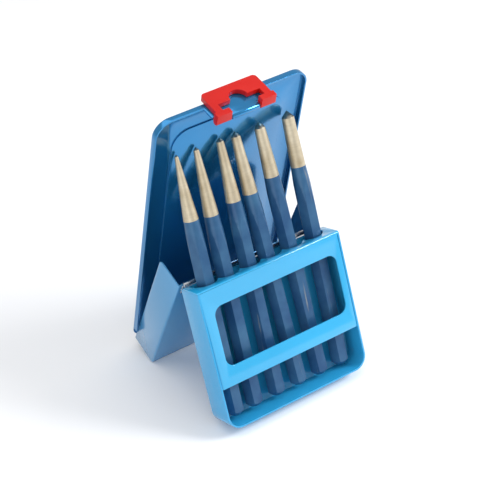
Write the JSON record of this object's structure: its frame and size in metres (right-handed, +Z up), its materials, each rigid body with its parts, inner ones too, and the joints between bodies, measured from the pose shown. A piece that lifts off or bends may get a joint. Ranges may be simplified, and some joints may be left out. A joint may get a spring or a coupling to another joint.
{
  "type": "punch set in folding stand case",
  "caption": "Tapered steel punches with hexagonal shanks in a hinged sheet-steel case that folds out into a stand, with a pivoting plastic hanger clip.",
  "frame": {"origin": "on the surface the stand rests on, at the middle of the standing case's width and depth", "axes": "+Z up, -Y is the front that the window faces, +X to the right seen from the front"},
  "size_m": [0.0822, 0.0844, 0.1492],
  "materials": {
    "holder_tray": "gloss enamel",
    "holder_cover": "gloss enamel",
    "base_tray": "gloss enamel",
    "lid_shell": "gloss enamel",
    "holder_leaf": "bright zinc",
    "base_top_leaf": "bright zinc",
    "base_rear_leaf": "bright zinc",
    "lid_leaf": "bright zinc",
    "tray_pin": "bright",
    "lid_pin": "bright",
    "clip_pin": "bright",
    "hanger_clip": "moulded",
    "punch_1": "blue lacquer on the shank, bare at the tapered end",
    "punch_2": "blue lacquer on the shank, bare at the tapered end",
    "punch_3": "blue lacquer on the shank, bare at the tapered end",
    "punch_4": "blue lacquer on the shank, bare at the tapered end",
    "punch_5": "blue lacquer on the shank, bare at the tapered end",
    "punch_6": "blue lacquer on the shank, bare at the tapered end"
  },
  "bodies": {
    "base": {"base_tray": "base_tray", "base_top_leaf": "base_top_leaf", "base_rear_leaf": "base_rear_leaf", "tray_pin": "tray_pin", "lid_pin": "lid_pin"},
    "holder": {"holder_tray": "holder_tray", "holder_cover": "holder_cover", "holder_leaf": "holder_leaf"},
    "lid": {"lid_shell": "lid_shell", "lid_leaf": "lid_leaf"},
    "clip": {"hanger_clip": "hanger_clip", "clip_pin": "clip_pin"},
    "punch_1": {"punch_1": "punch_1"},
    "punch_2": {"punch_2": "punch_2"},
    "punch_3": {"punch_3": "punch_3"},
    "punch_4": {"punch_4": "punch_4"},
    "punch_5": {"punch_5": "punch_5"},
    "punch_6": {"punch_6": "punch_6"}
  },
  "joints": [
    {"name": "tray_hinge", "type": "hinge", "parent": "base", "child": "holder", "pos_m": [0, -0.00216, 0.0652], "axis": [1, 0, 0], "range_deg": [0, 40]},
    {"name": "lid_hinge", "type": "hinge", "parent": "base", "child": "lid", "pos_m": [0, 0.04107, 0.00613], "axis": [-1, 0, 0], "range_deg": [0, 100]},
    {"name": "clip_pivot", "type": "hinge", "parent": "lid", "child": "clip", "pos_m": [0, 0.00291, 0.14227], "axis": [1, 0, 0], "range_deg": [0, 110]},
    {"name": "punch_1_slide", "type": "slide", "parent": "holder", "child": "punch_1", "axis": [0.0141, 0.3713, 0.9284], "range_m": [0, 0.0008]},
    {"name": "punch_2_slide", "type": "slide", "parent": "holder", "child": "punch_2", "axis": [0.0109, 0.3713, 0.9284], "range_m": [0, 0.0008]},
    {"name": "punch_3_slide", "type": "slide", "parent": "holder", "child": "punch_3", "axis": [0.0094, 0.3714, 0.9284], "range_m": [0, 0.0008]},
    {"name": "punch_4_slide", "type": "slide", "parent": "holder", "child": "punch_4", "axis": [-0.025, 0.3713, 0.9282], "range_m": [0, 0.0008]},
    {"name": "punch_5_slide", "type": "slide", "parent": "holder", "child": "punch_5", "axis": [-0.0187, 0.3713, 0.9283], "range_m": [0, 0.0008]},
    {"name": "punch_6_slide", "type": "slide", "parent": "holder", "child": "punch_6", "axis": [0.0094, 0.3714, 0.9284], "range_m": [0, 0.0008]}
  ]
}
